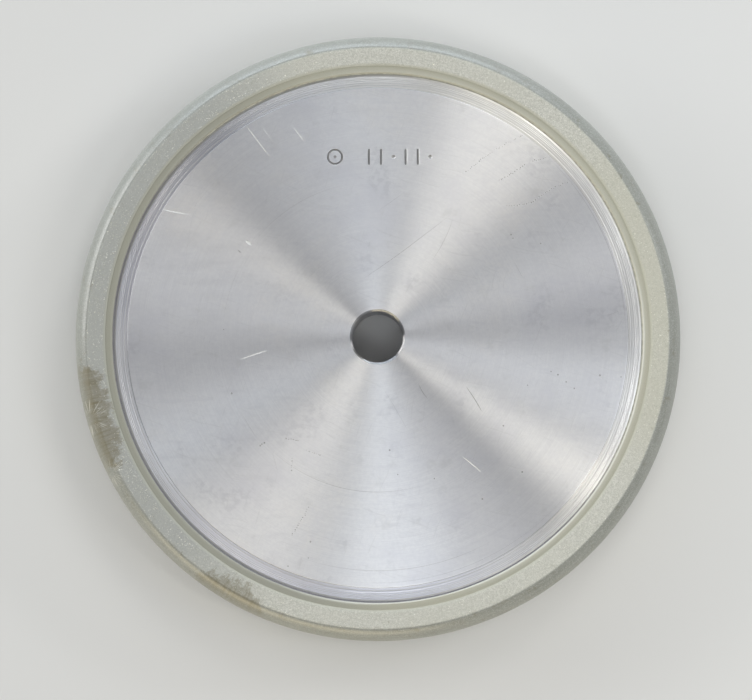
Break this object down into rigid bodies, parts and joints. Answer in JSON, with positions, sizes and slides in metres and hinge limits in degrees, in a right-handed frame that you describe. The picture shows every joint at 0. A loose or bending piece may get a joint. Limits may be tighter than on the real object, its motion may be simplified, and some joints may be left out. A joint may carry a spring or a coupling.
{
  "type": "diamond grinding wheel",
  "caption": "Flat grinding wheel with a plain bore, a turned aluminium core and a bonded diamond rim with rounded shoulders.",
  "frame": {"origin": "on the spindle axis, in the plane of the rim's lower flat, on which the wheel lies", "axes": "+Z along the spindle axis, out of the face with the index marks; +Y from the axis towards the index marks"},
  "size_m": [0.15, 0.15, 0.016],
  "materials": {
    "core_aluminium": "fine turned, concentric lathe grain",
    "adhesive": "cured grey epoxy film",
    "base_bond": "turned smooth, olive grey",
    "diamond_bond": "grainy, pale greenish grey, with exposed diamond grains"
  },
  "bodies": {
    "root": {"core": "core_aluminium", "adhesive_line": "adhesive", "base_ring": "base_bond", "diamond_rim": "diamond_bond"}
  },
  "joints": []
}
